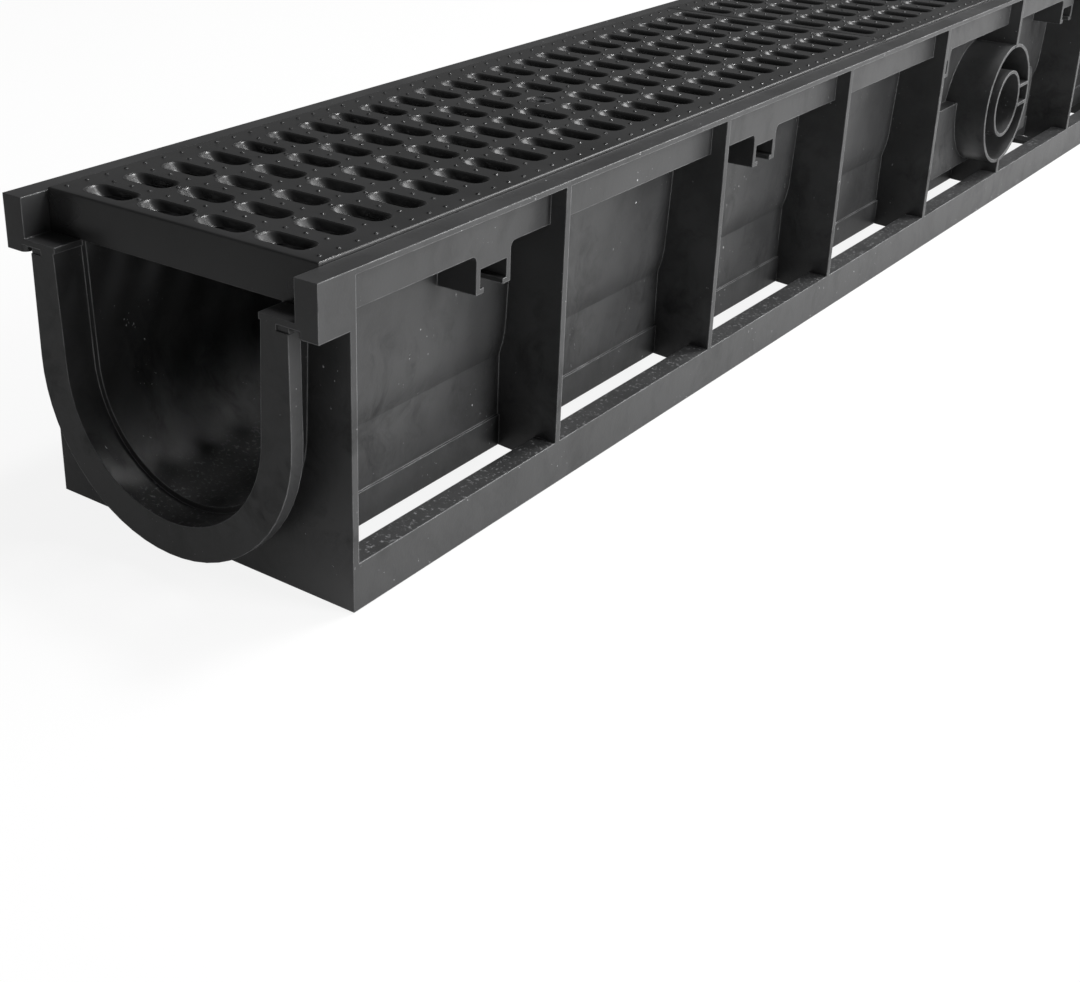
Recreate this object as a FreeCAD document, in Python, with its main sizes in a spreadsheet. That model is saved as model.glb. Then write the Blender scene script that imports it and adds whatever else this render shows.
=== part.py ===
"""Linear drainage channel with two slotted gratings, one metre long. Sizes in millimetres.

Frame: X across the channel, Y along it, Z up. The origin is the centre of the base, in the
plane that the channel stands on. The socket end faces -Y and the side outlet faces +X.
"""
import FreeCAD, Part
import math
import os
import sys

import Sketcher

SIZES = {
    # whole channel
    "channel_length": 1000.0,
    "channel_width": 165.0,
    "rim_height": 138.6,
    # rim that carries the gratings
    "lip_thick": 2.4,
    "recess_half": 71.7,
    "skirt_wall": 3.1,
    "recess_depth": 17.0,
    "ledge_thick": 2.6,
    # trough
    "trough_radius": 50.5,
    "trough_wall": 3.5,
    "trough_centre": 72.5,
    "trough_draft": 2.0,
    # socket and spigot at the two ends
    "socket_radius": 53.2,
    "socket_depth": 14.5,
    "socket_wall": 7.5,
    "flange_radius": 68.3,
    "flange_thick": 6.5,
    "flange_drop": 2.5,
    "joint_clearance": 0.4,
    "block_drop": 3.1,
    "block_corner": 3.0,
    # plates, ribs and base
    "end_plate_setback": 17.0,
    "rib_thick": 3.3,
    "rib_pitch": 137.5,
    "front_ribs": 4.0,
    "rib_foot": 9.0,
    "side_plate_half": 51.0,
    "side_plate_wall": 3.0,
    "side_plate_foot": 10.5,
    "foot_step_height": 15.0,
    "foot_step": 1.0,
    "rail_width": 11.0,
    "rail_height": 20.2,
    "rail_wall": 3.0,
    # hanging brackets under the rim
    "brackets_a_side": 4.0,
    "bracket_first": 114.7,
    "bracket_pitch": 235.0,
    "bracket_length": 23.4,
    "bracket_drop": 16.8,
    "bracket_tab_drop": 6.3,
    "bracket_flare": 3.0,
    "bracket_web": 2.6,
    "bracket_toe": 2.5,
    "bracket_toe_height": 2.2,
    # side outlet
    "outlet_place": 697.0,
    "outlet_height": 67.2,
    "outer_ring_bore": 37.5,
    "inner_ring_bore": 20.0,
    "ring_wall": 2.0,
    "ring_inset": 0.5,
    "ring_web_high": 8.0,
    "ring_web_low": 5.0,
    "chamber_face": 62.0,
    "chamber_low": 26.0,
    "chamber_high": 72.0,
    "chamber_front": 584.0,
    "chamber_rear": 805.0,
    "chamber_corner": 8.0,
    "crossbar_place": 817.0,
    "crossbar_width": 12.0,
    # gratings
    "grating_proud": 1.4,
    "grating_setback": 13.5,
    "grating_gap": 0.4,
    "grating_plate": 4.0,
    "grating_skirt": 2.6,
    "grating_rib": 3.0,
    "slot_rows": 23.0,
    "slot_row_pitch": 21.1,
    "slot_column_pitch": 30.8,
    "slot_length": 25.3,
    "slot_width": 11.0,
    "slot_corner": 3.0,
    "slot_slope": 4.0,
    "rows_per_cell": 4.0,
    # fixings
    "screw_radius": 4.0,
    "screw_clearance": 0.4,
    "thread_clearance": 0.1,
    "screw_sunk": 0.5,
    "screw_past_bar": 3.0,
    "screw_head_radius": 6.2,
    "screw_head_height": 4.0,
    "screw_head_clearance": 0.5,
    "socket_key_across": 5.0,
    "socket_key_depth": 2.6,
    "boss_wall": 3.0,
    "boss_plate_radius": 13.0,
    "bar_width": 20.0,
    "bar_thick": 5.0,
    "cleat_drop": 12.0,
    "cleat_height": 6.0,
    "cleat_length": 24.0,
    "cleat_reach": 4.0,
    "bar_end_clearance": 0.5,
}

# the slot columns' places, in column pitches from the middle
SLOT_COLUMNS = (-1.5, -0.5, 0.5, 1.5)


class Size:
    """A length that carries its number and the sheet expression that gives it."""

    def __init__(self, value, text):
        self.value = value
        self.text = text

    def __add__(self, other):
        other = as_size(other)
        return Size(self.value + other.value, f"({self.text} + {other.text})")

    def __sub__(self, other):
        other = as_size(other)
        return Size(self.value - other.value, f"({self.text} - {other.text})")

    def __mul__(self, other):
        other = as_size(other)
        return Size(self.value * other.value, f"({self.text} * {other.text})")

    def __truediv__(self, other):
        other = as_size(other)
        return Size(self.value / other.value, f"({self.text} / {other.text})")

    def __neg__(self):
        return as_size(0) - self


def as_size(number):
    return number if isinstance(number, Size) else Size(float(number), str(number))


def root(size):
    return Size(math.sqrt(size.value), f"sqrt({size.text})")


def chord_height(radius, across):
    """How far below its centre a circle lies at a given distance from the middle."""
    return root(radius * radius - across * across)


document = FreeCAD.newDocument("channel_drain")
sheet = document.addObject("Spreadsheet::Sheet", "sizes")
for row, (name, number) in enumerate(SIZES.items(), start=1):
    sheet.set(f"A{row}", name)
    sheet.set(f"B{row}", str(number))
    sheet.setAlias(f"B{row}", name)
document.recompute()
given = {name: Size(number, f"sizes.{name}") for name, number in SIZES.items()}


# ---- drawing helpers --------------------------------------------------------------------

def bind(thing, attribute, size):
    """Ties a property to the sheet."""
    thing.setExpression(attribute, as_size(size).text)


def origin_part(body, role):
    return next(item for item in body.Origin.OriginFeatures if item.Role == role)


def pin(drawing, kind, geometry, point, size):
    """Holds one coordinate of a point at a size from the sheet."""
    size = as_size(size)
    index = drawing.addConstraint(Sketcher.Constraint(kind, -1, 1, geometry, point, size.value))
    drawing.setExpression(f"Constraints[{index}]", size.text)


def vector(point):
    return FreeCAD.Vector(as_size(point[0]).value, as_size(point[1]).value, 0)


def draw_circle(drawing, centre, radius):
    circle = Part.Circle(vector(centre), FreeCAD.Vector(0, 0, 1), as_size(radius).value)
    index = drawing.addGeometry(circle, False)
    pin(drawing, "DistanceX", index, 3, centre[0])
    pin(drawing, "DistanceY", index, 3, centre[1])
    row = drawing.addConstraint(Sketcher.Constraint("Radius", index, as_size(radius).value))
    drawing.setExpression(f"Constraints[{row}]", as_size(radius).text)


def draw_loop(drawing, steps):
    """A closed outline. A step is a corner (x, y), or (x, y, centre) where an arc ends.

    An arc goes the short way round its centre from the corner before it.
    """
    corners = [step[:2] for step in steps]
    first = None
    previous = None
    for number, step in enumerate(steps):
        start = vector(corners[number - 1])
        end = vector(step)
        if len(step) == 3:
            index, head, tail = draw_arc(drawing, start, end, step[2])
        else:
            index = drawing.addGeometry(Part.LineSegment(start, end), False)
            head, tail = 1, 2
        if previous is None:
            first = (index, head)
        else:
            drawing.addConstraint(Sketcher.Constraint("Coincident", *previous, index, head))
        across, along = as_size(step[0]), as_size(step[1])
        if len(step) == 3:
            centre = vector(step[2])
            flat = abs(end.x - centre.x) >= abs(end.y - centre.y)
            kind, size = ("DistanceY", along) if flat else ("DistanceX", across)
            pin(drawing, kind, index, tail, size)
        else:
            pin(drawing, "DistanceX", index, tail, across)
            pin(drawing, "DistanceY", index, tail, along)
        previous = (index, tail)
    drawing.addConstraint(Sketcher.Constraint("Coincident", *previous, *first))


def draw_arc(drawing, start, end, centre):
    """Adds the arc and returns its index with the numbers of its first and last point."""
    middle = vector(centre)
    radius = start.distanceToPoint(middle)
    turn = (start - middle).cross(end - middle).z
    low = start if turn > 0 else end
    high = end if turn > 0 else start
    from_angle = math.atan2(low.y - middle.y, low.x - middle.x)
    to_angle = math.atan2(high.y - middle.y, high.x - middle.x)
    circle = Part.Circle(middle, FreeCAD.Vector(0, 0, 1), radius)
    index = drawing.addGeometry(Part.ArcOfCircle(circle, from_angle, to_angle), False)
    pin(drawing, "DistanceX", index, 3, centre[0])
    pin(drawing, "DistanceY", index, 3, centre[1])
    return (index, 1, 2) if turn > 0 else (index, 2, 1)


def new_sketch(body, name, role, offset, loops=(), circles=()):
    """A sketch on a plane of the body, moved along the plane's own normal by the offset."""
    drawing = body.newObject("Sketcher::SketchObject", name)
    drawing.AttachmentSupport = [(origin_part(body, role), "")]
    drawing.MapMode = "FlatFace"
    bind(drawing, ".AttachmentOffset.Base.z", offset)
    for steps in loops:
        draw_loop(drawing, steps)
    for centre, radius in circles:
        draw_circle(drawing, centre, radius)
    return drawing


def pad(body, name, drawing, length, backwards=False):
    feature = body.newObject("PartDesign::Pad", name)
    feature.Refine = False
    feature.Profile = drawing
    feature.Reversed = backwards
    bind(feature, "Length", length)
    document.recompute()
    body.Tip = feature
    return feature


def pocket(body, name, drawing, length, backwards=False):
    before = body.Shape.Volume
    feature = body.newObject("PartDesign::Pocket", name)
    feature.Refine = False
    feature.Profile = drawing
    feature.Reversed = backwards
    bind(feature, "Length", length)
    document.recompute()
    body.Tip = feature
    if feature.Shape.Volume >= before:
        sys.exit(f"{name} cut nothing")
    return feature


def repeat(body, name, originals, role, length, count, backwards=False):
    feature = body.newObject("PartDesign::LinearPattern", name)
    feature.Refine = False
    feature.Originals = originals
    feature.Direction = (origin_part(body, role), [""])
    feature.Reversed = backwards
    bind(feature, "Length", length)
    bind(feature, "Occurrences", count)
    document.recompute()
    body.Tip = feature
    return feature


def new_body(name):
    body = document.addObject("PartDesign::Body", name)
    body.Label = name
    document.recompute()
    return body


def flip(steps):
    """The same outline on the other side of the middle plane."""
    turned = []
    for step in steps:
        corner = (-step[0], step[1])
        if len(step) == 3:
            corner += ((-step[2][0], step[2][1]),)
        turned.append(corner)
    return turned


def both_sides(steps):
    return [steps, flip(steps)]


def rectangle(low_x, low_y, high_x, high_y):
    return [(low_x, low_y), (high_x, low_y), (high_x, high_y), (low_x, high_y)]


# ---- sizes that follow from the sheet ---------------------------------------------------

def across_section(place):
    """Offset of a cross-section plane at a distance from the socket end."""
    return given["channel_length"] / 2 - place


half_width = given["channel_width"] / 2
rim_top = given["rim_height"]
lip_under = rim_top - given["lip_thick"]
recess_half = given["recess_half"]
skirt_outside = recess_half + given["skirt_wall"]
ledge_top = rim_top - given["recess_depth"]
ledge_under = ledge_top - given["ledge_thick"]
centre_z = given["trough_centre"]
radius_in = given["trough_radius"]
radius_out = radius_in + given["trough_wall"]
radius_mid = radius_in + given["trough_wall"] / 2
draft = given["trough_draft"]
plate_out = given["side_plate_half"]
plate_in = plate_out - given["side_plate_wall"]
rail_in = half_width - given["rail_width"]
plate_front = given["end_plate_setback"]
plate_rear = given["channel_length"] - given["end_plate_setback"] - given["rib_thick"]
ring_face = half_width - given["ring_inset"]
grating_half = recess_half - given["grating_gap"]
grating_top = rim_top + given["grating_proud"]
grating_length = given["channel_length"] / 2 - given["grating_setback"] - given["grating_gap"] / 2
grating_centre = given["grating_setback"] + grating_length / 2
screw_places = (grating_centre, given["channel_length"] - grating_centre)


def u_loop(outer, inner, top, outer_draft, inner_draft):
    """Outline of a U wall: straight leaning sides on a half-round bottom."""
    middle = (as_size(0), centre_z)
    return [
        (outer + outer_draft, top),
        (outer, centre_z),
        (as_size(0), centre_z - outer, middle),
        (-outer, centre_z, middle),
        (-outer - outer_draft, top),
        (-inner - inner_draft, top),
        (-inner, centre_z),
        (as_size(0), centre_z - inner, middle),
        (inner, centre_z, middle),
        (inner + inner_draft, top),
    ]


# ---- channel body: one moulding ---------------------------------------------------------

def channel_body():
    body = new_body("channel_body")
    add_trough(body)
    add_side_plates(body)
    add_outlet(body)
    add_cleats(body)
    add_ends(body)
    add_ribs(body)
    add_rails(body)
    add_brackets(body)
    return body


def add_trough(body):
    """Rim with its recess, and the U trough that hangs from it."""
    rim = [
        (half_width, rim_top),
        (half_width, lip_under),
        (skirt_outside, lip_under),
        (skirt_outside, ledge_under),
        (radius_mid + draft, ledge_under),
        (radius_mid + draft, ledge_top),
        (recess_half, ledge_top),
        (recess_half, rim_top),
    ]
    trough_end = plate_rear + given["rib_thick"]
    spigot_radius = given["socket_radius"] - given["joint_clearance"]
    for name, outside, start, end in (
        ("trough", radius_out, given["socket_depth"], trough_end),
        ("spigot", spigot_radius, trough_end, given["channel_length"]),
    ):
        wall = u_loop(outside, radius_in, ledge_top, draft, draft)
        drawing = new_sketch(body, name + "_section", "XZ_Plane", across_section(start), [wall])
        pad(body, name, drawing, end - start, backwards=True)
    drawing = new_sketch(body, "rim_section", "XZ_Plane", across_section(0), both_sides(rim))
    pad(body, "rim", drawing, given["channel_length"], backwards=True)


def add_ends(body):
    """Full plates across both ends, the socket collar in front and the spigot behind."""
    middle = (as_size(0), centre_z)
    skirt_mid = recess_half + given["skirt_wall"] / 2
    lip_mid = rim_top - given["lip_thick"] / 2
    ledge_mid = ledge_top - given["ledge_thick"] / 2
    plate = [
        (half_width, lip_mid),
        (half_width, as_size(0)),
        (-half_width, as_size(0)),
        (-half_width, lip_mid),
        (-skirt_mid, lip_mid),
        (-skirt_mid, ledge_mid),
        (-radius_mid - draft, ledge_mid),
        (-radius_mid, centre_z),
        (as_size(0), centre_z - radius_mid, middle),
        (radius_mid, centre_z, middle),
        (radius_mid + draft, ledge_mid),
        (skirt_mid, ledge_mid),
        (skirt_mid, lip_mid),
    ]
    for name, place in (("front_plate", plate_front), ("rear_plate", plate_rear)):
        drawing = new_sketch(body, name + "_outline", "XZ_Plane", across_section(place), [plate])
        pad(body, name, drawing, given["rib_thick"], backwards=True)
    collar = u_loop(given["socket_radius"] + given["socket_wall"], given["socket_radius"],
                    ledge_mid, draft, draft)
    drawing = new_sketch(body, "collar_outline", "XZ_Plane", across_section(0), [collar])
    pad(body, "collar", drawing, plate_front, backwards=True)
    flange = u_loop(given["flange_radius"], given["socket_radius"] + given["socket_wall"] / 2,
                    ledge_under - given["flange_drop"], as_size(0), draft)
    drawing = new_sketch(body, "flange_outline", "XZ_Plane", across_section(0), [flange])
    pad(body, "flange", drawing, given["flange_thick"], backwards=True)
    low = ledge_under - given["block_drop"]
    front = given["channel_length"] / -2
    block = block_loop(front, front + plate_front, 1)
    far_block = block_loop(-front, -front - plate_front, -1)
    loops = both_sides(block) + both_sides(far_block)
    drawing = new_sketch(body, "block_outlines", "XY_Plane", low, loops)
    pad(body, "blocks", drawing, rim_top - low)


def block_loop(end, inside, turn):
    """An end block seen from above, rounded where its end meets the recess."""
    corner = given["block_corner"]
    round_centre = (recess_half + corner, end + corner * turn)
    return [
        (half_width, end),
        (half_width, inside),
        (recess_half, inside),
        (recess_half, end + corner * turn),
        (recess_half + corner, end, round_centre),
    ]


def rib_outline():
    """One rib from the trough wall out to the rim's edge, down to the rail."""
    skirt_mid = recess_half + given["skirt_wall"] / 2
    lip_mid = rim_top - given["lip_thick"] / 2
    ledge_mid = ledge_top - given["ledge_thick"] / 2
    plate_mid = plate_out - given["side_plate_wall"] / 2
    meet = centre_z - chord_height(radius_mid, plate_mid)
    return [
        (half_width, lip_mid),
        (half_width, as_size(0)),
        (rail_in, as_size(0)),
        (rail_in, given["rib_foot"]),
        (plate_mid, given["side_plate_foot"]),
        (plate_mid, meet),
        (radius_mid, centre_z, (as_size(0), centre_z)),
        (radius_mid + draft, ledge_mid),
        (skirt_mid, ledge_mid),
        (skirt_mid, lip_mid),
    ]


def add_ribs(body):
    """Ribs between the end plates: a row from the front and one from the rear."""
    outline = both_sides(rib_outline())
    place = plate_front + given["rib_pitch"]
    drawing = new_sketch(body, "rib_outline", "XZ_Plane", across_section(place), outline)
    rib = pad(body, "rib", drawing, given["rib_thick"], backwards=True)
    count = given["front_ribs"]
    repeat(body, "front_ribs", [rib], "Y_Axis", given["rib_pitch"] * (count - 1), count)
    place = plate_rear - given["rib_pitch"]
    drawing = new_sketch(body, "rear_rib_outline", "XZ_Plane", across_section(place), outline)
    pad(body, "rear_rib", drawing, given["rib_thick"], backwards=True)


def add_side_plates(body):
    """Plates that stand under the trough, with a thicker foot."""
    foot = given["side_plate_foot"]
    step_top = foot + given["foot_step_height"]
    step = plate_out + given["foot_step"]
    side_plate = [
        (plate_in, foot),
        (step, foot),
        (step, step_top),
        (plate_out, step_top),
        (plate_out, centre_z - chord_height(radius_mid, plate_out)),
        (plate_in, centre_z - chord_height(radius_mid, plate_in)),
    ]
    between_plates(body, "side_plates", side_plate)


def add_rails(body):
    """The two rails that the channel stands on, open below, and the bar past the outlet."""
    wall = given["rail_wall"]
    rail = [
        (rail_in, as_size(0)),
        (rail_in + wall, as_size(0)),
        (rail_in + wall, given["rail_height"] - wall),
        (half_width - wall, given["rail_height"] - wall),
        (half_width - wall, as_size(0)),
        (half_width, as_size(0)),
        (half_width, given["rail_height"]),
        (rail_in, given["rail_height"]),
    ]
    between_plates(body, "rails", rail)
    add_crossbar(body)


def between_plates(body, name, outline):
    """Runs an outline on both sides from one end plate to the other."""
    span = plate_rear + given["rib_thick"] - plate_front
    loops = both_sides(outline)
    drawing = new_sketch(body, name + "_outline", "XZ_Plane", across_section(plate_front), loops)
    pad(body, name, drawing, span, backwards=True)


def add_crossbar(body):
    """Flat bar in the base frame past the outlet, from the side plate to the rail."""
    place = given["crossbar_place"]
    bar = rectangle(plate_in, given["side_plate_foot"], rail_in + given["rail_wall"],
                    given["side_plate_foot"] + given["rail_wall"])
    drawing = new_sketch(body, "crossbar_outline", "XZ_Plane", across_section(place), [bar])
    pad(body, "crossbar", drawing, given["crossbar_width"], backwards=True)


def add_brackets(body):
    """Hanging brackets along each side: a tab under the skirt and two webs with turned-in toes."""
    start = given["bracket_first"] - given["channel_length"] / 2
    half = given["bracket_length"] / 2
    web = given["bracket_web"]
    low = ledge_under - given["bracket_drop"]
    toe_top = low + given["bracket_toe_height"]
    top = ledge_top - given["ledge_thick"] / 2
    tab = tab_loop(start, half, top)
    webs = []
    for side in (-1, 1):
        outside = start + half * side
        inside = outside - web * side
        toe = inside - given["bracket_toe"] * side
        webs.append([
            (outside, top),
            (outside, low),
            (toe, low),
            (toe, toe_top),
            (inside, toe_top),
            (inside, top),
        ])
    reach = skirt_outside - radius_out
    count = given["brackets_a_side"]
    span = given["bracket_pitch"] * (count - 1)
    for name, tab_plane, web_plane in (
        ("right", recess_half, radius_out),
        ("left", -skirt_outside, -skirt_outside),
    ):
        drawing = new_sketch(body, name + "_tab_outline", "YZ_Plane", tab_plane, [tab])
        tab_pad = pad(body, name + "_tab", drawing, given["skirt_wall"])
        drawing = new_sketch(body, name + "_web_outline", "YZ_Plane", web_plane, webs)
        web_pad = pad(body, name + "_webs", drawing, reach)
        repeat(body, name + "_brackets", [tab_pad, web_pad], "Y_Axis", span, count)


def tab_loop(middle, half, top):
    """The tab of a bracket, flaring into the skirt through a round on each side."""
    flare = given["bracket_flare"]
    low = ledge_under - given["bracket_tab_drop"]
    left, right = middle - half, middle + half
    return [
        (left, low),
        (right, low),
        (right, ledge_under - flare),
        (right + flare, ledge_under, (right + flare, ledge_under - flare)),
        (right + flare, top),
        (left - flare, top),
        (left - flare, ledge_under),
        (left, ledge_under - flare, (left - flare, ledge_under - flare)),
    ]


def add_outlet(body):
    """Knock-out rings of the side outlet and the chamber behind their lower half."""
    place = given["outlet_place"] - given["channel_length"] / 2
    centre = (place, given["outlet_height"])
    bore = given["outer_ring_bore"]
    wall = given["ring_wall"]
    start = given["outlet_place"] - given["rib_thick"] / 2
    rib = both_sides(rib_outline())
    drawing = new_sketch(body, "outlet_rib_outline", "XZ_Plane", across_section(start), rib)
    pad(body, "outlet_rib", drawing, given["rib_thick"], backwards=True)
    add_chamber(body)
    face = given["chamber_face"]
    drawing = new_sketch(body, "ring_clearing_outline", "YZ_Plane", face, [], [(centre, bore)])
    pocket(body, "ring_clearing", drawing, half_width, backwards=True)
    disc_back = face - wall
    drawing = new_sketch(body, "disc_outline", "YZ_Plane", disc_back, [], [(centre, bore + wall)])
    pad(body, "knock_out_disc", drawing, wall)
    rings = [(centre, bore), (centre, bore + wall)]
    small = given["inner_ring_bore"]
    inner_ring = [(centre, small), (centre, small + wall)]
    root_plane = radius_mid + draft / 2
    drawing = new_sketch(body, "outer_ring_outline", "YZ_Plane", root_plane, [], rings)
    pad(body, "outer_ring", drawing, ring_face - root_plane)
    drawing = new_sketch(body, "inner_ring_outline", "YZ_Plane", disc_back, [], inner_ring)
    pad(body, "inner_ring", drawing, ring_face - disc_back)
    add_ring_webs(body, centre, disc_back)
    hollow_chamber(body)
    drawing = new_sketch(body, "disc_way_outline", "YZ_Plane", as_size(0), [], [(centre, bore)])
    pocket(body, "disc_way", drawing, disc_back, backwards=True)


def add_ring_webs(body, centre, root_plane):
    """Two small webs that hold the inner ring in the outer one."""
    place, height = centre
    inner = given["inner_ring_bore"] + given["ring_wall"] / 2
    outer = given["outer_ring_bore"] + given["ring_wall"] / 2
    webs = []
    for rise in (given["ring_web_high"], -given["ring_web_low"]):
        low = height + rise - given["ring_wall"] / 2
        high = height + rise + given["ring_wall"] / 2
        webs.append(rectangle(place + root(inner * inner - rise * rise), low,
                              place + root(outer * outer - rise * rise), high))
    drawing = new_sketch(body, "ring_web_outlines", "YZ_Plane", root_plane, webs)
    pad(body, "ring_webs", drawing, ring_face - root_plane)


def chamber_loop(inset):
    """The chamber's outline seen from the side, with its upper corners rounded."""
    middle = given["channel_length"] / 2
    front = given["chamber_front"] - middle + inset
    rear = given["chamber_rear"] - middle - inset
    low = given["chamber_low"] + inset
    high = given["chamber_high"] - inset
    corner = given["chamber_corner"] - inset
    return [
        (rear, low),
        (rear, high - corner),
        (rear - corner, high, (rear - corner, high - corner)),
        (front + corner, high),
        (front, high - corner, (front + corner, high - corner)),
        (front, low),
    ]


def add_chamber(body):
    """Raised box on the lower side of the trough that the outlet opens from."""
    drawing = new_sketch(body, "chamber_outline", "YZ_Plane", radius_in / 2, [chamber_loop(as_size(0))])
    pad(body, "chamber", drawing, given["chamber_face"] - radius_in / 2)


def hollow_chamber(body):
    """Opens the chamber to the trough, leaving its walls."""
    wall = given["side_plate_wall"]
    drawing = new_sketch(body, "chamber_hollow_outline", "YZ_Plane", as_size(0), [chamber_loop(wall)])
    pocket(body, "chamber_hollow", drawing, given["chamber_face"] - wall, backwards=True)
    middle = (as_size(0), centre_z)
    bore = [
        (as_size(0), centre_z),
        (as_size(0), centre_z - radius_in),
        (radius_in, centre_z, middle),
    ]
    drawing = new_sketch(body, "chamber_bore", "XZ_Plane", across_section(given["chamber_front"]), [bore])
    pocket(body, "chamber_way", drawing, given["chamber_rear"] - given["chamber_front"])


def add_cleats(body):
    """Shoulders inside the trough that the locking bars pull up against."""
    high = ledge_top - given["cleat_drop"]
    cleat = rectangle(radius_in - given["cleat_reach"], high - given["cleat_height"], radius_mid, high)
    for number, place in enumerate(screw_places, start=1):
        start = place - given["cleat_length"] / 2
        plane = across_section(start)
        drawing = new_sketch(body, f"cleat_outline_{number}", "XZ_Plane", plane, both_sides(cleat))
        pad(body, f"cleats_{number}", drawing, given["cleat_length"], backwards=True)


# ---- gratings ---------------------------------------------------------------------------

def slot_loop(middle, place, length, width):
    """A slot's outline with its four corners cut."""
    corner = given["slot_corner"]
    left, right = middle - length / 2, middle + length / 2
    near, far = place - width / 2, place + width / 2
    return [
        (left + corner, near),
        (right - corner, near),
        (right, near + corner),
        (right, far - corner),
        (right - corner, far),
        (left + corner, far),
        (left, far - corner),
        (left, near + corner),
    ]


def grating(name, centre_place):
    body = new_body(name)
    middle = centre_place - given["channel_length"] / 2
    half = grating_length / 2
    depth = grating_top - ledge_top
    shell = rectangle(-grating_half, middle - half, grating_half, middle + half)
    drawing = new_sketch(body, "shell_outline", "XY_Plane", ledge_top, [shell])
    pad(body, "shell", drawing, depth)
    add_cells(body, middle, depth - given["grating_plate"])
    add_boss(body, middle)
    add_slots(body, middle)
    add_screw_seat(body, middle)
    return body


def add_cells(body, middle, depth):
    """Hollows the underside, leaving the walls, three long ribs and four cross ribs."""
    rib = given["grating_rib"]
    column = given["slot_column_pitch"]
    edge = grating_half - given["grating_skirt"]
    end = grating_length / 2 - given["grating_skirt"]
    inner = (given["slot_rows"] / 2 - given["rows_per_cell"] * 2) * given["slot_row_pitch"]
    outer = inner + given["rows_per_cell"] * given["slot_row_pitch"]
    columns = [(rib / 2, column - rib / 2), (column + rib / 2, edge)]
    rows = [
        (-inner + rib / 2, inner - rib / 2),
        (inner + rib / 2, outer - rib / 2),
        (outer + rib / 2, end),
        (-outer + rib / 2, -inner - rib / 2),
        (-end, -outer - rib / 2),
    ]
    loops = []
    for low_x, high_x in columns:
        for low_y, high_y in rows:
            loops += both_sides(rectangle(low_x, middle + low_y, high_x, middle + high_y))
    drawing = new_sketch(body, "cell_outlines", "XY_Plane", ledge_top, loops)
    pocket(body, "cells", drawing, depth, backwards=True)


def add_slots(body, middle):
    """Rows of slots along the whole grating, then the ramps that slope down from their ends."""
    along = given["slot_row_pitch"] * (given["slot_rows"] - 1)
    first_row = middle - along / 2
    low = grating_top - given["grating_plate"]
    slots = []
    ramps = []
    for step in SLOT_COLUMNS:
        column = given["slot_column_pitch"] * step
        slots.append(slot_loop(column, first_row, given["slot_length"], given["slot_width"]))
        for side in (-1, 1):
            end = column + given["slot_length"] / 2 * side
            foot = end - given["slot_slope"] * side
            ramps.append([(end, low), (foot, low), (end, grating_top)])
    drawing = new_sketch(body, "slot_outlines", "XY_Plane", grating_top, slots)
    row = pocket(body, "slot_row", drawing, given["grating_plate"])
    repeat(body, "slot_rows", [row], "Y_Axis", along, given["slot_rows"])
    start = first_row - given["slot_width"] / 2
    drawing = new_sketch(body, "ramp_outlines", "XZ_Plane", -start, ramps)
    pad(body, "ramps", drawing, along + given["slot_width"], backwards=True)


def add_boss(body, middle):
    """Tube under the plate in the middle of the grating, for the fixing screw."""
    radius = given["screw_head_radius"] + given["screw_head_clearance"] + given["boss_wall"]
    ring = ((as_size(0), middle), radius)
    drawing = new_sketch(body, "boss_outline", "XY_Plane", ledge_top, [], [ring])
    pad(body, "boss", drawing, grating_top - given["grating_plate"] - ledge_top)


def add_screw_seat(body, middle):
    """Round pad that shortens the two slots beside it, with the screw's counterbore and hole."""
    centre = (as_size(0), middle)
    low = grating_top - given["grating_plate"]
    disc = (centre, given["boss_plate_radius"])
    drawing = new_sketch(body, "boss_plate_outline", "XY_Plane", low, [], [disc])
    pad(body, "boss_plate", drawing, given["grating_plate"])
    head = given["screw_head_radius"] + given["screw_head_clearance"]
    hole = given["screw_radius"] + given["screw_clearance"]
    for name, radius, depth in (
        ("counterbore", head, given["screw_head_height"] + given["screw_sunk"]),
        ("screw_hole", hole, grating_top - ledge_top),
    ):
        drawing = new_sketch(body, name + "_outline", "XY_Plane", grating_top, [], [(centre, radius)])
        feature = pocket(body, name, drawing, depth)
    feature.Refine = True


# ---- fixings ----------------------------------------------------------------------------

def bar_levels():
    top = ledge_top - given["cleat_drop"] - given["cleat_height"]
    return top - given["bar_thick"], top


def locking_bar(name, place):
    """Tapped flat bar under the cleats, which the screw pulls up."""
    body = new_body(name)
    middle = place - given["channel_length"] / 2
    half = radius_in - given["bar_end_clearance"]
    width = given["bar_width"]
    outline = rectangle(-half, middle - width / 2, half, middle + width / 2)
    low = bar_levels()[0]
    hole = given["screw_radius"] + given["thread_clearance"]
    drawing = new_sketch(body, "bar_outline", "XY_Plane", low, [outline], [((as_size(0), middle), hole)])
    pad(body, "bar", drawing, given["bar_thick"])
    return body


def fixing_screw(name, place):
    """Socket-head screw from the counterbore down through the bar."""
    body = new_body(name)
    middle = place - given["channel_length"] / 2
    centre = (as_size(0), middle)
    top = grating_top - given["screw_sunk"]
    seat = top - given["screw_head_height"]
    tip = bar_levels()[0] - given["screw_past_bar"]
    drawing = new_sketch(body, "shank_outline", "XY_Plane", tip, [], [(centre, given["screw_radius"])])
    pad(body, "shank", drawing, top - tip)
    drawing = new_sketch(body, "head_outline", "XY_Plane", seat, [], [(centre, given["screw_head_radius"])])
    pad(body, "head", drawing, given["screw_head_height"])
    half = given["socket_key_across"] / 2
    corner = half * (2 / math.sqrt(3))
    key = [
        (corner, middle), (corner / 2, middle + half), (-corner / 2, middle + half),
        (-corner, middle), (-corner / 2, middle - half), (corner / 2, middle - half),
    ]
    drawing = new_sketch(body, "key_outline", "XY_Plane", top, [key])
    pocket(body, "key", drawing, given["socket_key_depth"])
    return body


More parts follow.
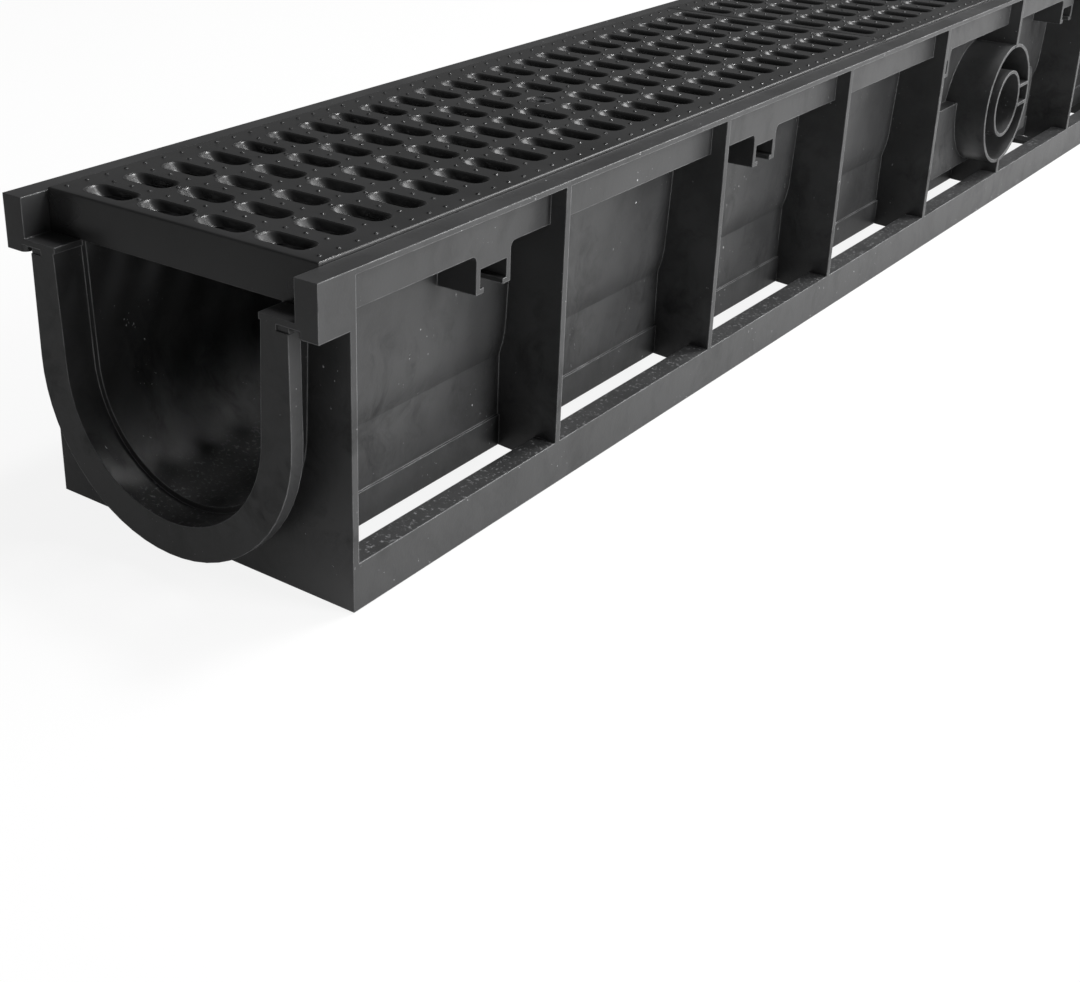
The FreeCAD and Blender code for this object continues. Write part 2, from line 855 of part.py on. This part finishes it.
def mirrored(name, piece):
    """The same piece at the other end of the channel."""
    copy = document.addObject("Part::Mirroring", name)
    copy.Label = name
    copy.Source = piece
    copy.Base = FreeCAD.Vector(0, 0, 0)
    copy.Normal = FreeCAD.Vector(0, 1, 0)
    document.recompute()
    return copy


def finished(pieces):
    """Stops on any failed object or shape, then writes one file for each piece."""
    document.recompute()
    for thing in document.Objects:
        state = [flag for flag in thing.State if flag in ("Invalid", "Error")]
        if state:
            sys.exit(f"{thing.Name}: {state}")
    for piece in pieces:
        shape = piece.Shape
        if shape.isNull() or not shape.isValid() or len(shape.Solids) != 1:
            sys.exit(f"{piece.Label}: bad shape with {len(shape.Solids)} solids")
    os.makedirs("parts", exist_ok=True)
    for piece in pieces:
        piece.Shape.exportStep(f"parts/{piece.Label}.step")
        box = piece.Shape.BoundBox
        print(piece.Label, round(piece.Shape.Volume), box)


made = [channel_body()]
for label, make in (("grating", grating), ("locking_bar", locking_bar), ("fixing_screw", fixing_screw)):
    front = make(label + "_front", grating_centre)
    made += [front, mirrored(label + "_rear", front)]
finished(made)
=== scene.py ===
"""Looks of the one metre drainage channel: moulded black plastic, slotted gratings, studio light."""
import math
from typing import NamedTuple

import bmesh
import bpy
from mathutils import Euler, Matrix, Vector


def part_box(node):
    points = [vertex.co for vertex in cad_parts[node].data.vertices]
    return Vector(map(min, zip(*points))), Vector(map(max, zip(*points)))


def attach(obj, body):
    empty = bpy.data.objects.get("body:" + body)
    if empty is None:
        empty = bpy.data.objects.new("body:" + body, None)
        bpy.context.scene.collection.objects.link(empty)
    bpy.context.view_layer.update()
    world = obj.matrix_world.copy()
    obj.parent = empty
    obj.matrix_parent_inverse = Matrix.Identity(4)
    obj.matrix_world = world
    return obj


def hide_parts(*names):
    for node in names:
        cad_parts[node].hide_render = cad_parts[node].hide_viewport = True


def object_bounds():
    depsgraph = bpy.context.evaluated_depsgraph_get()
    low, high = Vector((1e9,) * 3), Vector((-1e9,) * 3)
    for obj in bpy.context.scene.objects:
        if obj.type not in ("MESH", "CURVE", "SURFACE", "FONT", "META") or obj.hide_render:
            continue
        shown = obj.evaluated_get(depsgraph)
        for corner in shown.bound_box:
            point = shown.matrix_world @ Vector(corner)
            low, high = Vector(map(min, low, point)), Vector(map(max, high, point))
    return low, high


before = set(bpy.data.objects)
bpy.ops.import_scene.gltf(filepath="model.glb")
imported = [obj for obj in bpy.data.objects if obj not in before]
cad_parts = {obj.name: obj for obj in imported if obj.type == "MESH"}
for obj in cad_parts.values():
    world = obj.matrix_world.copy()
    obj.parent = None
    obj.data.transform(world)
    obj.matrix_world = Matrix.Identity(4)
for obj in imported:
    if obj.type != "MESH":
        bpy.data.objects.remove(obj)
cad_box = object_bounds()

MM = 0.001

# ---- sizes of the gratings, in millimetres, as in the part ---------------------------------

ROWS = 23
ROW_PITCH = 21.1
# the four slots of a row, in column pitches from the middle
COLUMNS = (-1.5, -0.5, 0.5, 1.5)
COLUMN_PITCH = 30.8
SLOT_LENGTH = 25.3
SLOT_WIDTH = 11.0
SLOT_ROUND = 4.4
PLATE = 4.0
# a slot's wall from the mouth down: how far in its ends and sides are, out where negative, and
# how deep
SLOT_PROFILE = (
    (-0.45, -0.4, 0.0),
    (0.0, -0.05, 0.14),
    (0.4, 0.25, 0.5),
    (0.9, 0.4, 1.1),
    (4.0, 0.5, PLATE),
)
SKIRT = 2.6
RIB = 3.0
RIB_OVERLAP = 0.1
RIB_BOSS_GAP = 0.2
ROWS_PER_CELL = 4

# the screw's seat in the middle: radii of its bores and boss, and half the plate kept round it
HEAD_BORE = 6.7
HEAD_DEPTH = 4.5
SCREW_BORE = 4.4
BOSS = 9.7
BOSS_PLATE = 13.0
SEAT_MARGIN = 0.5

EDGE_ROUND = 0.8
MOUTH_ROUND = 0.6
EDGE_ANGLES = (0, 30, 60, 90)
ARC_STEPS = 5
CIRCLE_STEPS = 32
SMOOTH_BELOW = 33

# anti-slip pips: twelve between two rows of slots, three on a row between its slots, and two
# at each end of a row, along the grating's long edges
PIP_RADIUS = 1.0
PIP_HEIGHT = 0.6
PIP_STEPS = 8
PIP_ANGLES = (0, 30, 60)
PIP_FIRST = 5.13
PIP_PITCH = 10.27
PIP_BETWEEN_ROWS = [PIP_FIRST + PIP_PITCH * step for step in range(6)]
PIP_ON_ROWS = [0.0, COLUMN_PITCH]
PIP_MARGIN = 66.5
PIP_MARGIN_SHARES = (-0.25, 0.25)

# the gap between the socket's flange and the ledge above it, on each side: how far out from
# the middle, how high, and how far behind the front end
FLANGE_SIDES = (58.0, 68.3)
FLANGE_LEVELS = (116.5, 119.0)
FLANGE_DEPTHS = (0.5, 6.5)


# ---- node helpers --------------------------------------------------------------------------

class Nodes:
    """A short way to write a node tree."""

    def __init__(self, tree):
        self.tree = tree

    def add(self, kind, inputs=None, **settings):
        node = self.tree.nodes.new("ShaderNode" + kind)
        for name, value in settings.items():
            setattr(node, name, value)
        for name, value in (inputs or {}).items():
            self.give(node, name, value)
        return node

    def give(self, node, name, value):
        """Sets an input, by its name or number, to a value or to another node's output."""
        socket = node.inputs[name]
        if isinstance(value, bpy.types.NodeSocket):
            self.tree.links.new(value, socket)
        else:
            socket.default_value = value

    def maths(self, operation, first, second):
        return self.add("Math", {0: first, 1: second}, operation=operation).outputs[0]

    def vector_maths(self, operation, first, second):
        return self.add("VectorMath", {0: first, 1: second}, operation=operation)

    def height(self, place):
        return self.add("SeparateXYZ", {"Vector": place}).outputs["Z"]

    def noise(self, place, scale, detail=3.0, roughness=0.55):
        inputs = {"Vector": place, "Scale": scale, "Detail": detail, "Roughness": roughness}
        return self.add("TexNoise", inputs).outputs["Fac"]

    def spread(self, value, low, high, start=0.0, end=1.0):
        """Maps low..high to start..end and holds the ends."""
        inputs = {"Value": value, "From Min": low, "From Max": high, "To Min": start, "To Max": end}
        return self.add("MapRange", inputs).outputs["Result"]

    def stretched(self, place, scale):
        node = self.add("Mapping", {"Vector": place, "Scale": scale})
        return node.outputs["Vector"]

    def mix(self, amount, first, second):
        """Mixes two colours; a colour mix has them at inputs 6 and 7 and its result at output 2."""
        node = self.add("Mix", {"Factor": amount, 6: first, 7: second}, data_type="RGBA")
        return node.outputs[2]


def new_material(name):
    material = bpy.data.materials.new(name)
    material.use_nodes = True
    material.node_tree.nodes.clear()
    return material, Nodes(material.node_tree)


def grey(level):
    """A cool grey."""
    return (level, level * 1.01, level * 1.03, 1.0)


# the black plastics' common values: edge rounding, which sets the band of wear and painted
# highlight, its grey and that of chipped plastic, and what a smear does to tone, roughness and gloss
BEVEL_RADIUS = 0.8 * MM
# grey of the edges' wear and painted highlight
WORN_HIGHLIGHT_GREY = grey(0.26)
CHIP_GREY = grey(0.5)
SMEAR_DARKENING = 0.35
SMEAR_STRENGTH = 0.6
SMEAR_ROUGHNESS = 0.22
GLOSS = 0.5
SMEAR_GLOSS = 0.22
PATCH_RANGE = (0.3, 0.7)


def moulded_plastic(name, dark, light, roughness, worn_highlight_strength, marks):
    """Black moulded plastic: cloudy tone, flow marks, fine grain, pale chips, and edges lightened
    partly as wear and partly as painted highlight.

    The argument after roughness sets how bright the edges' wear and painted highlight are, marks how many
    chips and smears the walls carry.
    """
    material, nodes = new_material(name)
    place = nodes.add("TexCoord").outputs["Object"]
    patch = nodes.noise(place, scale=24.0, detail=2.0)
    bevel = nodes.add("Bevel", {"Radius": BEVEL_RADIUS}, samples=6).outputs[0]
    flat = nodes.add("NewGeometry").outputs["Normal"]

    # painted highlight and wear: a band along every edge, concave ones too, lit as if catching the lamps
    worn_highlight = nodes.maths("MULTIPLY", worn_edge_painted_highlight(nodes, place, bevel, flat), worn_highlight_strength)
    smear = nodes.maths("MULTIPLY", smears(nodes, place), marks)
    chip = nodes.maths("MULTIPLY", chips(nodes, place), marks)
    grit = nodes.maths("MULTIPLY", settled_grit(nodes, place, flat), marks)

    tone = nodes.mix(nodes.spread(patch, *PATCH_RANGE), grey(dark), grey(light))
    smeared = nodes.maths("MULTIPLY", smear, SMEAR_STRENGTH)
    tone = nodes.mix(smeared, tone, grey(dark * SMEAR_DARKENING))
    # painted highlight and wear: the edge band is mixed towards a light grey
    tone = nodes.mix(worn_highlight, tone, WORN_HIGHLIGHT_GREY)
    tone = nodes.mix(nodes.maths("MAXIMUM", chip, grit), tone, CHIP_GREY)

    rough = nodes.spread(patch, *PATCH_RANGE, start=roughness - 0.05, end=roughness + 0.06)
    rough = nodes.maths("ADD", rough, nodes.maths("MULTIPLY", smear, SMEAR_ROUGHNESS))
    normal = grain_bump(nodes, place, bevel, flat, strength=0.08 + 0.22 * marks)

    shader = nodes.add("BsdfPrincipled", {"Base Color": tone, "Roughness": rough, "Normal": normal})
    gloss = nodes.spread(smear, 0.0, 1.0, start=GLOSS, end=SMEAR_GLOSS)
    nodes.give(shader, "Specular IOR Level", gloss)
    nodes.add("OutputMaterial", {"Surface": shader.outputs[0]})
    return material


def worn_edge_painted_highlight(nodes, place, bevel, flat):
    """Painted highlight and wear along the edges: strong where the rounded normal leaves the flat one,
    broken up along the edge.
    """
    lean = nodes.vector_maths("DOT_PRODUCT", bevel, flat).outputs["Value"]
    edge = nodes.spread(lean, 0.99, 0.84)
    breaks = nodes.spread(nodes.noise(place, scale=90.0, detail=4.0), 0.3, 0.62, start=0.15)
    return nodes.maths("MULTIPLY", edge, breaks)


def smears(nodes, place):
    """Flow marks that run down the walls, and cloudy smears on their lower half."""
    swirl = nodes.add("TexNoise", {"Vector": place, "Scale": 26.0, "Detail": 3.0}).outputs["Color"]
    drift = nodes.vector_maths("SUBTRACT", swirl, (0.5, 0.5, 0.5)).outputs[0]
    drift = nodes.add("VectorMath", {0: drift, "Scale": 0.05}, operation="SCALE").outputs[0]
    moved = nodes.vector_maths("ADD", place, drift).outputs[0]
    runs = nodes.noise(nodes.stretched(moved, (50.0, 64.0, 24.0)), scale=1.0, detail=5.0, roughness=0.62)
    cloud = nodes.noise(moved, scale=26.0, detail=6.0, roughness=0.7)
    both = nodes.maths("MULTIPLY", nodes.spread(runs, 0.42, 0.6), nodes.spread(cloud, 0.4, 0.62))
    lower_wall = nodes.spread(nodes.height(place), 0.105, 0.05, start=0.3)
    above_rail = nodes.spread(nodes.height(place), 0.018, 0.03, start=0.3)
    return nodes.maths("MULTIPLY", both, nodes.maths("MULTIPLY", lower_wall, above_rail))


def chips(nodes, place):
    """Small pale chips, longer than wide, that gather in patches."""
    grains = nodes.noise(nodes.stretched(place, (1.0, 1.0, 0.7)), scale=640.0, roughness=0.6)
    where = nodes.noise(place, scale=38.0, detail=1.0)
    return nodes.maths("MULTIPLY", nodes.spread(grains, 0.69, 0.74), nodes.spread(where, 0.54, 0.6))


def settled_grit(nodes, place, flat):
    """Fine grit on the upward faces below 30 mm: the base rails and the trough's floor."""
    upward = nodes.spread(nodes.height(flat), 0.8, 0.95)
    low = nodes.maths("MULTIPLY", upward, nodes.spread(nodes.height(place), 0.03, 0.025))
    grains = nodes.spread(nodes.noise(place, scale=620.0, detail=2.0), 0.58, 0.76)
    return nodes.maths("MULTIPLY", low, nodes.maths("MULTIPLY", grains, 0.3))


def grain_bump(nodes, place, bevel, flat, strength):
    """Fine moulded grain over a slow ripple, coarser where grit has settled."""
    grain = nodes.maths("MULTIPLY", nodes.noise(place, scale=900.0, detail=2.0), 0.3)
    ripple = nodes.noise(place, scale=55.0)
    coarse = nodes.maths("MULTIPLY", settled_grit(nodes, place, flat), 5.0)
    height = nodes.maths("ADD", nodes.maths("ADD", grain, ripple), coarse)
    inputs = {"Height": height, "Strength": strength, "Distance": 0.4 * MM, "Normal": bevel}
    return nodes.add("Bump", inputs).outputs[0]


def zinc_steel(name):
    """Dull plated steel with fine mottling."""
    material, nodes = new_material(name)
    place = nodes.add("TexCoord").outputs["Object"]
    mottle = nodes.noise(place, scale=260.0)
    stain = nodes.noise(place, scale=70.0)
    tone = nodes.mix(nodes.spread(stain, 0.35, 0.65), grey(0.08), grey(0.17))
    rough = nodes.spread(mottle, 0.3, 0.7, start=0.32, end=0.5)
    bump = nodes.add("Bump", {"Height": mottle, "Strength": 0.2, "Distance": 0.2 * MM})
    shader = nodes.add("BsdfPrincipled", {"Base Color": tone, "Roughness": rough, "Normal": bump.outputs[0]})
    shader.inputs["Metallic"].default_value = 1.0
    nodes.add("OutputMaterial", {"Surface": shader.outputs[0]})
    return material


# ---- mesh helpers --------------------------------------------------------------------------

def slot_ring(middle, length, width, rounding, z):
    """Points round a slot, four corners of ARC_STEPS + 1 points each, from the +X +Y corner."""
    points = []
    for number, (side_x, side_y) in enumerate(((1, 1), (-1, 1), (-1, -1), (1, -1))):
        centre_x = middle[0] + side_x * (length / 2 - rounding)
        centre_y = middle[1] + side_y * (width / 2 - rounding)
        for step in range(ARC_STEPS + 1):
            angle = math.radians(90 * (number + step / ARC_STEPS))
            x = centre_x + rounding * math.cos(angle)
            y = centre_y + rounding * math.sin(angle)
            points.append((x, y, z))
    return points


def circle_ring(middle, radius, z, count):
    """Points round a circle, half a step off the +X axis."""
    points = []
    for step in range(count):
        angle = math.tau * (step + 0.5) / count
        points.append((middle[0] + radius * math.cos(angle), middle[1] + radius * math.sin(angle), z))
    return points


class Shell:
    """Collects the faces of a mesh, in millimetres, and welds them."""

    def __init__(self):
        self.mesh = bmesh.new()

    def ring(self, points):
        return [self.mesh.verts.new(Vector(point) * MM) for point in points]

    def face(self, corners):
        return self.mesh.faces.new(corners)

    def bridge(self, first, second):
        """Faces between two rings of as many points each."""
        count = len(first)
        for index in range(count):
            after = (index + 1) % count
            self.face([first[index], first[after], second[after], second[index]])

    def plate_round(self, frame_points, hole, upward):
        """Flat surface between a four-sided outline and a hole of points in four equal runs."""
        corners = self.ring(frame_points)
        run = len(hole) // 4
        half = run // 2
        for side in range(4):
            after = (side + 1) % 4
            first = side * run + half
            last = after * run + half
            if last <= first:
                last += len(hole)
            inner = [hole[index % len(hole)] for index in range(first, last + 1)]
            loop = [corners[side], corners[after]] + inner[::-1]
            self.face(loop if upward else loop[::-1])

    def box(self, low, high):
        """A closed block between two corners."""
        outline = ((low[0], low[1]), (high[0], low[1]), (high[0], high[1]), (low[0], high[1]))
        corner = self.ring([(x, y, z) for z in (low[2], high[2]) for x, y in outline])
        self.face(corner[3::-1])
        self.face(corner[4:])
        for index in range(4):
            after = (index + 1) % 4
            self.face([corner[index], corner[after], corner[after + 4], corner[index + 4]])

    def dome(self, middle, radius, height, z):
        """A small pip: three rings and a crown."""
        rings = []
        for angle in PIP_ANGLES:
            level = z + height * math.sin(math.radians(angle))
            reach = radius * math.cos(math.radians(angle))
            rings.append(self.ring(circle_ring(middle, reach, level, PIP_STEPS)))
        for first, second in zip(rings, rings[1:]):
            self.bridge(first, second)
        self.face(rings[-1])

    def to_object(self, name, material):
        """Welds the faces, smooths the gentle edges and puts the mesh in the scene."""
        bmesh.ops.remove_doubles(self.mesh, verts=self.mesh.verts, dist=0.001 * MM)
        for edge in self.mesh.edges:
            edge.smooth = edge.calc_face_angle(0.0) < math.radians(SMOOTH_BELOW)
        for face in self.mesh.faces:
            face.smooth = True
        data = bpy.data.meshes.new(name)
        self.mesh.to_mesh(data)
        self.mesh.free()
        data.materials.append(material)
        piece = bpy.data.objects.new(name, data)
        bpy.context.collection.objects.link(piece)
        return piece


# ---- gratings and flange corners -----------------------------------------------------------

def outline_points(cell):
    """The corners of a piece of plate, from the +X +Y one."""
    low_x, low_y, high_x, high_y, z = cell
    return [(high_x, high_y, z), (low_x, high_y, z), (low_x, low_y, z), (high_x, low_y, z)]


def add_slot(shell, upper, lower, middle, length, top):
    """A rounded slot in its piece of plate, with sloping ends and a softened mouth."""
    rings = []
    for end_inset, side_inset, depth in SLOT_PROFILE:
        long, wide = length - 2 * end_inset, SLOT_WIDTH - 2 * side_inset
        points = slot_ring(middle, long, wide, SLOT_ROUND - side_inset, top - depth)
        rings.append(shell.ring(points))
    for first, second in zip(rings, rings[1:]):
        shell.bridge(first[::-1], second[::-1])
    shell.plate_round(outline_points(upper), rings[0], True)
    shell.plate_round(outline_points(lower), rings[-1], False)


def add_screw_seat(shell, upper, lower, middle, top, bottom):
    """Counterbore, screw hole and the boss tube below the plate."""
    low = top - PLATE
    levels = [
        (HEAD_BORE + MOUTH_ROUND, top), (HEAD_BORE, top - MOUTH_ROUND), (HEAD_BORE, top - HEAD_DEPTH),
        (SCREW_BORE, top - HEAD_DEPTH), (SCREW_BORE, bottom), (BOSS, bottom), (BOSS, low),
    ]
    rings = [shell.ring(circle_ring(middle, radius, z, CIRCLE_STEPS)) for radius, z in levels]
    for first, second in zip(rings, rings[1:]):
        shell.bridge(first[::-1], second[::-1])
    shell.plate_round(outline_points(upper), rings[0], True)
    shell.plate_round(outline_points(lower), rings[-1], False)


class Extent(NamedTuple):
    """Where a grating lies, in millimetres."""

    middle_y: float
    half_x: float
    half_y: float
    top: float
    bottom: float


def grating_mesh(name, material, box):
    """A slotted grating that fills the box of its solid."""
    low, high = [corner / MM for corner in box]
    extent = Extent((low.y + high.y) / 2, high.x, (high.y - low.y) / 2, high.z, low.z)
    shell = Shell()
    for row in range(ROWS):
        add_row(shell, extent, row - (ROWS - 1) / 2)
    add_walls(shell, extent)
    add_under_ribs(shell, extent)
    add_pips(shell, extent)
    return shell.to_object(name, material)


def row_limits(extent, step, inset):
    """Where a row's piece of plate starts and ends; the last rows reach the grating's edge."""
    last = (ROWS - 1) / 2
    low = -extent.half_y + inset if step == -last else (step - 0.5) * ROW_PITCH
    high = extent.half_y - inset if step == last else (step + 0.5) * ROW_PITCH
    return extent.middle_y + low, extent.middle_y + high


def full_slot(column):
    """Middle and length of a slot, and the two sides of its piece of plate."""
    across = column * COLUMN_PITCH
    return across, SLOT_LENGTH, across - COLUMN_PITCH / 2, across + COLUMN_PITCH / 2


def short_slot(column):
    """The same for a slot that the screw's seat cuts short."""
    side = 1 if column > 0 else -1
    length = abs(column) * COLUMN_PITCH + SLOT_LENGTH / 2 - BOSS_PLATE
    near, far = sorted((side * (BOSS + SEAT_MARGIN), side * COLUMN_PITCH))
    return side * (BOSS_PLATE + length / 2), length, near, far


def add_row(shell, extent, step):
    """The four slots of one row; the middle row has the screw seat between short slots."""
    low = extent.top - PLATE
    centre_y = extent.middle_y + step * ROW_PITCH
    for column in COLUMNS:
        beside_seat = step == 0 and abs(column) < 1
        across, length, near, far = short_slot(column) if beside_seat else full_slot(column)
        cells = []
        for inset, z in ((EDGE_ROUND, extent.top), (SKIRT, low)):
            start_y, end_y = row_limits(extent, step, inset)
            low_x = -extent.half_x + inset if column == COLUMNS[0] else near
            high_x = extent.half_x - inset if column == COLUMNS[-1] else far
            cells.append((low_x, start_y, high_x, end_y, z))
        add_slot(shell, cells[0], cells[1], (across, centre_y), length, extent.top)
    if step == 0:
        edge = BOSS + SEAT_MARGIN
        start_y, end_y = centre_y - ROW_PITCH / 2, centre_y + ROW_PITCH / 2
        cells = [(-edge, start_y, edge, end_y, z) for z in (extent.top, low)]
        add_screw_seat(shell, cells[0], cells[1], (0.0, centre_y), extent.top, extent.bottom)


def edge_points(extent, inset, z):
    """Points round the grating's edge, one at each joint between the pieces of plate."""
    reach_x, reach_y = extent.half_x - inset, extent.half_y - inset
    across = [-reach_x, -COLUMN_PITCH, 0.0, COLUMN_PITCH, reach_x]
    rows = [(step - ROWS / 2) * ROW_PITCH for step in range(1, ROWS)]
    along = [extent.middle_y + y for y in [-reach_y] + rows + [reach_y]]
    points = [(x, along[0], z) for x in across[:-1]]
    points += [(reach_x, y, z) for y in along[:-1]]
    points += [(x, along[-1], z) for x in across[:0:-1]]
    points += [(-reach_x, y, z) for y in along[:0:-1]]
    return points


def add_walls(shell, extent):
    """The grating's walls: rounded top edge, outside, foot and inside."""
    turns = []
    for angle in EDGE_ANGLES:
        inset = EDGE_ROUND * (1 - math.sin(math.radians(angle)))
        drop = EDGE_ROUND * (1 - math.cos(math.radians(angle)))
        turns.append((inset, extent.top - drop))
    turns += [(0.0, extent.bottom), (SKIRT, extent.bottom), (SKIRT, extent.top - PLATE)]
    rings = [shell.ring(edge_points(extent, inset, z)) for inset, z in turns]
    for first, second in zip(rings, rings[1:]):
        shell.bridge(second, first)


def add_under_ribs(shell, extent):
    """Three long ribs and four cross ribs under the plate; the middle one stops at the boss."""
    rib_top = extent.top - PLATE + RIB_OVERLAP
    clear = BOSS + RIB_BOSS_GAP
    end = extent.half_y - SKIRT
    for across in (-COLUMN_PITCH, 0.0, COLUMN_PITCH):
        spans = [(-end, end)] if across else [(-end, -clear), (clear, end)]
        for start, stop in spans:
            low = (across - RIB / 2, extent.middle_y + start, extent.bottom)
            high = (across + RIB / 2, extent.middle_y + stop, rib_top)
            shell.box(low, high)
    reach = extent.half_x - SKIRT
    inner = (ROWS / 2 - ROWS_PER_CELL * 2) * ROW_PITCH
    for along in (inner, inner + ROWS_PER_CELL * ROW_PITCH):
        for side in (-1, 1):
            middle = extent.middle_y + side * along
            shell.box((-reach, middle - RIB / 2, extent.bottom), (reach, middle + RIB / 2, rib_top))


def add_pips(shell, extent):
    """Rows of small round pips over the whole top, but for the screw's seat."""
    middle_row = (ROWS - 1) // 2
    places = set()
    for row in range(ROWS):
        centre_y = extent.middle_y + (row - middle_row) * ROW_PITCH
        spots = [(PIP_MARGIN, centre_y + share * ROW_PITCH) for share in PIP_MARGIN_SHARES]
        spots += [(across, centre_y) for across in PIP_ON_ROWS if across or row != middle_row]
        if row:
            spots += [(across, centre_y - ROW_PITCH / 2) for across in PIP_BETWEEN_ROWS]
        for across, along in spots:
            places |= {(across, along), (-across, along)}
    for place in sorted(places):
        shell.dome(place, PIP_RADIUS, PIP_HEIGHT, extent.top)


def flange_corners(name, material):
    """Closes the narrow gap between the socket's flange and the ledge above it, on both sides."""
    shell = Shell()
    front = cad_box[0][1] / MM
    for side in (-1, 1):
        across = sorted(side * edge for edge in FLANGE_SIDES)
        low = (across[0], front + FLANGE_DEPTHS[0], FLANGE_LEVELS[0])
        high = (across[1], front + FLANGE_DEPTHS[1], FLANGE_LEVELS[1])
        shell.box(low, high)
    return shell.to_object(name, material)


# ---- the object ----------------------------------------------------------------------------

body_plastic = moulded_plastic("body_plastic", dark=0.024, light=0.036, roughness=0.4, worn_highlight_strength=0.75, marks=1.0)
grating_plastic = moulded_plastic(
    "grating_plastic", dark=0.014, light=0.021, roughness=0.29, worn_highlight_strength=0.15, marks=0.12
)
steel = zinc_steel("plated_steel")


def dress(node, material):
    """Gives a solid that is shown as it is its material."""
    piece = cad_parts[node]
    for slot in piece.material_slots:
        slot.material = material


for end in ("front", "rear"):
    node = "grating_" + end
    top = grating_mesh(node + "_detail", grating_plastic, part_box(node))
    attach(top, "root")
    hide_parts(node)
    dress("locking_bar_" + end, steel)
    dress("fixing_screw_" + end, steel)
dress("channel_body", body_plastic)
corners = flange_corners("flange_corners", body_plastic)
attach(corners, "root")


# ---- stage, lights and camera, in metres ----------------------------------------------------

WORLD_LEVEL = 0.12
WHITE = (1.0, 1.0, 1.0, 1.0)

FLOOR_SIZE = 60.0
FLOOR_DROP = 0.0005
FLOOR_PAINT = (0.9, 0.9, 0.9, 1.0)
# how much of the floor's look to the camera is pure white, the rest being lit paint with shadow
FLOOR_WHITE_SHARE = 0.88
# how bright the floor is in reflections, and between which X, in metres, it grows
FLOOR_GLARE = (0.3, 1.1)
FLOOR_GLARE_RANGE = (0.03, 0.12)

# place, size and watts of each lamp; all face one point above the middle of the object
LIGHT_TARGET = (0.0, 0.0, 0.1)
LIGHTS = {
    "key": ((1.2, 1.7, 1.25), (1.6, 1.2), 40.0),
    "side": ((1.9, 0.2, 0.8), (0.8, 1.8), 54.0),
    "above": ((0.4, 0.55, 2.05), (0.4, 0.4), 30.0),
}


def white_floor():
    """Pale floor: white to the camera with a soft shadow, brightest in reflections at the right."""
    material, nodes = new_material("pale_floor")
    path = nodes.add("LightPath")
    place = nodes.add("NewGeometry").outputs["Position"]
    across = nodes.add("SeparateXYZ", {"Vector": place}).outputs["X"]
    glare = nodes.spread(across, *FLOOR_GLARE_RANGE, *FLOOR_GLARE)
    white = nodes.add("Emission", {"Color": WHITE, "Strength": 1.0})
    sheen = nodes.add("Emission", {"Color": WHITE, "Strength": glare})
    paint = nodes.add("BsdfDiffuse", {"Color": FLOOR_PAINT})
    share = nodes.maths("MULTIPLY", path.outputs["Is Camera Ray"], FLOOR_WHITE_SHARE)
    seen = nodes.add("MixShader", {"Fac": share, 1: paint.outputs[0], 2: white.outputs[0]})
    glossy = path.outputs["Is Glossy Ray"]
    blend = nodes.add("MixShader", {"Fac": glossy, 1: seen.outputs[0], 2: sheen.outputs[0]})
    nodes.add("OutputMaterial", {"Surface": blend.outputs[0]})
    bpy.ops.mesh.primitive_plane_add(size=FLOOR_SIZE, location=(0.0, 0.0, -FLOOR_DROP))
    floor = bpy.context.object
    floor.name = "floor"
    floor.data.materials.append(material)


def studio_world():
    """White surroundings to the camera, dim ones to the object."""
    world = bpy.data.worlds.new("studio")
    bpy.context.scene.world = world
    world.use_nodes = True
    world.node_tree.nodes.clear()
    nodes = Nodes(world.node_tree)
    path = nodes.add("LightPath")
    level = nodes.spread(path.outputs["Is Camera Ray"], 0.0, 1.0, start=WORLD_LEVEL)
    back = nodes.add("Background", {"Color": WHITE, "Strength": level})
    nodes.add("OutputWorld", {"Surface": back.outputs[0]})


def area_light(name, place, size, power):
    light = bpy.data.lights.new(name, "AREA")
    light.shape = "RECTANGLE"
    light.size, light.size_y = size
    light.energy = power
    lamp = bpy.data.objects.new(name, light)
    lamp.location = place
    aim = Vector(LIGHT_TARGET) - Vector(place)
    lamp.rotation_euler = aim.to_track_quat("-Z", "Y").to_euler()
    bpy.context.collection.objects.link(lamp)


def product_camera():
    """Three-quarter view from the socket end, a little above the gratings."""
    azimuth, elevation, roll = math.radians(37.184), math.radians(25.267), math.radians(0.656)
    back = Vector((
        math.sin(azimuth) * math.cos(elevation),
        -math.cos(azimuth) * math.cos(elevation),
        math.sin(elevation),
    ))
    data = bpy.data.cameras.new("camera")
    data.lens = 53.69
    data.shift_x = 0.0969
    data.shift_y = -0.0599
    data.clip_start = 0.01
    camera = bpy.data.objects.new("camera", data)
    camera.location = (0.4253, -0.8848, 0.3283)
    camera.rotation_mode = "QUATERNION"
    turn = (-back).to_track_quat("-Z", "Y")
    camera.rotation_quaternion = turn @ Euler((0.0, 0.0, roll)).to_quaternion()
    bpy.context.collection.objects.link(camera)
    bpy.context.scene.camera = camera


white_floor()
studio_world()
for name, (place, size, power) in LIGHTS.items():
    area_light(name, place, size, power)
product_camera()
bpy.context.scene.view_settings.view_transform = "Standard"
